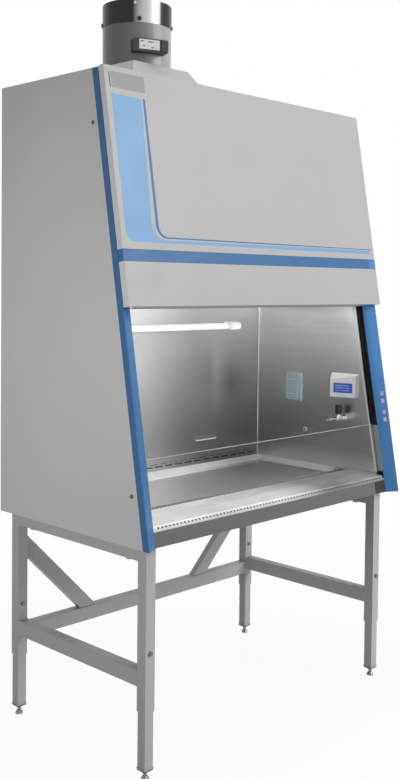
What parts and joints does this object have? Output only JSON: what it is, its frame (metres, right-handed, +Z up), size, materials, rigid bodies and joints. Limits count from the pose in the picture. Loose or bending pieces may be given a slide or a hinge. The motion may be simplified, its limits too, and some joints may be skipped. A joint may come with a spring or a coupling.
{
  "type": "biosafety cabinet",
  "caption": "Biosafety cabinet on an adjustable stand: sloped front, sliding glass sash, stainless work chamber, round exhaust collar.",
  "frame": {"origin": "middle of the bounding box at the floor, under the feet", "axes": "+Z up, -Y towards the user, +X to the user's right"},
  "size_m": [1.3, 0.758, 2.502],
  "materials": {
    "stand_paint": "smooth powder coat",
    "casing_grey": "smooth satin paint",
    "panel_grey": "smooth satin paint",
    "post_blue": "semi-gloss paint",
    "stainless": "brushed and polished",
    "galvanised": "galvanised sheet",
    "zinc": "bright zinc",
    "filter_media": "pleated fibre",
    "diffuser_white": "perforated, white",
    "fan_blue": "rolled sheet",
    "cast_motor": "painted motor body",
    "duct_dark": "dark, shiny sheet",
    "uv_glass": "clear lamp tube",
    "lamp_white": "white reflector",
    "white_plastic": "smooth",
    "clear_plastic": "clear",
    "casing_grey_plastic": "fine texture",
    "dark_chrome": "plated brass",
    "black_plastic": "smooth",
    "sash_glass": "clear laminated",
    "black_metal": "satin black",
    "belt_rubber": "toothed belt",
    "weight_iron": "dark",
    "key_plastic": "smooth"
  },
  "bodies": {
    "cabinet": {"stand_legs": "stand_paint", "stand_side_rails": "stand_paint", "stand_rear_frame": "stand_paint", "stand_bolts": "zinc", "base_pan": "casing_grey", "side_panel_left": "casing_grey", "side_panel_right": "casing_grey", "rear_panel": "galvanised", "top_panel": "casing_grey", "post_left": "post_blue", "post_right": "post_blue", "panel_hinges": "zinc", "trim_strip": "post_blue", "fascia": "panel_grey", "rear_baffle": "stainless", "chamber_wall_left": "stainless", "chamber_wall_right": "stainless", "work_tray": "stainless", "front_grille": "stainless", "supply_filter": "filter_media", "diffuser": "diffuser_white", "plenum_front": "galvanised", "blower_housing": "galvanised", "blower_motor": "cast_motor", "exhaust_filter": "filter_media", "exhaust_transition": "casing_grey", "duct_stub": "duct_dark", "flow_sensor": "casing_grey", "uv_lamp": "uv_glass", "work_light": "lamp_white", "outlet_plate": "white_plastic", "monitor_housing": "casing_grey_plastic", "petcock_body": "dark_chrome", "sash_guides": "black_metal", "sash_belts": "belt_rubber", "control_box": "galvanised", "power_inlet": "black_plastic"},
    "sash": {"sash_glass": "sash_glass", "sash_frame": "black_metal"},
    "counterweight_left": {"counterweight_left": "weight_iron"},
    "idler_left": {"idler_left": "zinc"},
    "counterweight_right": {"counterweight_right": "weight_iron"},
    "idler_right": {"idler_right": "zinc"},
    "sync_shaft": {"sync_shaft": "zinc"},
    "service_panel": {"service_panel": "panel_grey"},
    "impeller": {"impeller": "fan_blue"},
    "petcock_handle": {"petcock_handle": "black_plastic"},
    "outlet_cover": {"outlet_cover": "clear_plastic"},
    "leg_inner_fl": {"leg_inner_fl": "stand_paint"},
    "foot_fl": {"foot_fl": "zinc"},
    "leg_inner_fr": {"leg_inner_fr": "stand_paint"},
    "foot_fr": {"foot_fr": "zinc"},
    "leg_inner_rl": {"leg_inner_rl": "stand_paint"},
    "foot_rl": {"foot_rl": "zinc"},
    "leg_inner_rr": {"leg_inner_rr": "stand_paint"},
    "foot_rr": {"foot_rr": "zinc"},
    "key_1": {"key_1": "key_plastic"},
    "key_2": {"key_2": "key_plastic"},
    "key_3": {"key_3": "key_plastic"},
    "key_4": {"key_4": "key_plastic"}
  },
  "joints": [
    {"name": "sash_slide", "type": "slide", "parent": "cabinet", "child": "sash", "axis": [0, 0.1707, 0.9853], "range_m": [-0.186, 0.33]},
    {"name": "counterweight_left_slide", "type": "slide", "parent": "cabinet", "child": "counterweight_left", "axis": [0, 0.1707, 0.9853], "range_m": [-0.332, 0.188]},
    {"name": "counterweight_right_slide", "type": "slide", "parent": "cabinet", "child": "counterweight_right", "axis": [0, 0.1707, 0.9853], "range_m": [-0.332, 0.188]},
    {"name": "sync_shaft_turn", "type": "hinge", "parent": "cabinet", "child": "sync_shaft", "pos_m": [0, -0.05491, 2.06353], "axis": [1, 0, 0], "range_deg": [-860.44, 485.41]},
    {"name": "idler_left_turn", "type": "hinge", "parent": "cabinet", "child": "idler_left", "pos_m": [-0.625, -0.18466, 1.31469], "axis": [1, 0, 0], "range_deg": [-860.44, 485.41]},
    {"name": "idler_right_turn", "type": "hinge", "parent": "cabinet", "child": "idler_right", "pos_m": [0.625, -0.18466, 1.31469], "axis": [1, 0, 0], "range_deg": [-860.44, 485.41]},
    {"name": "service_panel_hinge", "type": "hinge", "parent": "cabinet", "child": "service_panel", "pos_m": [0, -0.1438, 2.15969], "axis": [-1, 0, 0], "range_deg": [0, 80]},
    {"name": "impeller_spin", "type": "hinge", "parent": "cabinet", "child": "impeller", "pos_m": [0.3, 0.165, 1.97], "axis": [0, 0, 1], "continuous": true},
    {"name": "petcock_turn", "type": "hinge", "parent": "cabinet", "child": "petcock_handle", "pos_m": [0.568, -0.148, 1.0014], "axis": [0, 0, 1], "range_deg": [0, 90]},
    {"name": "outlet_cover_hinge", "type": "hinge", "parent": "cabinet", "child": "outlet_cover", "pos_m": [0.588, 0.136, 1.091], "axis": [0, 0, -1], "range_deg": [0, 110]},
    {"name": "leg_fl_height", "type": "slide", "parent": "cabinet", "child": "leg_inner_fl", "axis": [0, 0, 1], "range_m": [-0.1, 0]},
    {"name": "foot_fl_level", "type": "slide", "parent": "leg_inner_fl", "child": "foot_fl", "axis": [0, 0, 1], "range_m": [-0.015, 0]},
    {"name": "leg_fr_height", "type": "slide", "parent": "cabinet", "child": "leg_inner_fr", "axis": [0, 0, 1], "range_m": [-0.1, 0]},
    {"name": "foot_fr_level", "type": "slide", "parent": "leg_inner_fr", "child": "foot_fr", "axis": [0, 0, 1], "range_m": [-0.015, 0]},
    {"name": "leg_rl_height", "type": "slide", "parent": "cabinet", "child": "leg_inner_rl", "axis": [0, 0, 1], "range_m": [-0.1, 0]},
    {"name": "foot_rl_level", "type": "slide", "parent": "leg_inner_rl", "child": "foot_rl", "axis": [0, 0, 1], "range_m": [-0.015, 0]},
    {"name": "leg_rr_height", "type": "slide", "parent": "cabinet", "child": "leg_inner_rr", "axis": [0, 0, 1], "range_m": [-0.1, 0]},
    {"name": "foot_rr_level", "type": "slide", "parent": "leg_inner_rr", "child": "foot_rr", "axis": [0, 0, 1], "range_m": [-0.015, 0]},
    {"name": "key_1_press", "type": "slide", "parent": "cabinet", "child": "key_1", "axis": [0.4886, 0.8597, -0.149], "range_m": [0, 0.0008], "stiffness_N_per_m": 800, "springref_m": -0.0006},
    {"name": "key_2_press", "type": "slide", "parent": "cabinet", "child": "key_2", "axis": [0.4886, 0.8597, -0.149], "range_m": [0, 0.0008], "stiffness_N_per_m": 800, "springref_m": -0.0006},
    {"name": "key_3_press", "type": "slide", "parent": "cabinet", "child": "key_3", "axis": [0.4886, 0.8597, -0.149], "range_m": [0, 0.0008], "stiffness_N_per_m": 800, "springref_m": -0.0006},
    {"name": "key_4_press", "type": "slide", "parent": "cabinet", "child": "key_4", "axis": [0.4886, 0.8597, -0.149], "range_m": [0, 0.0008], "stiffness_N_per_m": 800, "springref_m": -0.0006}
  ],
  "couplings": [
    {"joint": "counterweight_left_slide", "follows": "sash_slide", "ratio": -1},
    {"joint": "counterweight_right_slide", "follows": "sash_slide", "ratio": -1},
    {"joint": "sync_shaft_turn", "follows": "sash_slide", "rad_per_m": -45.455},
    {"joint": "idler_left_turn", "follows": "sash_slide", "rad_per_m": -45.455},
    {"joint": "idler_right_turn", "follows": "sash_slide", "rad_per_m": -45.455}
  ]
}
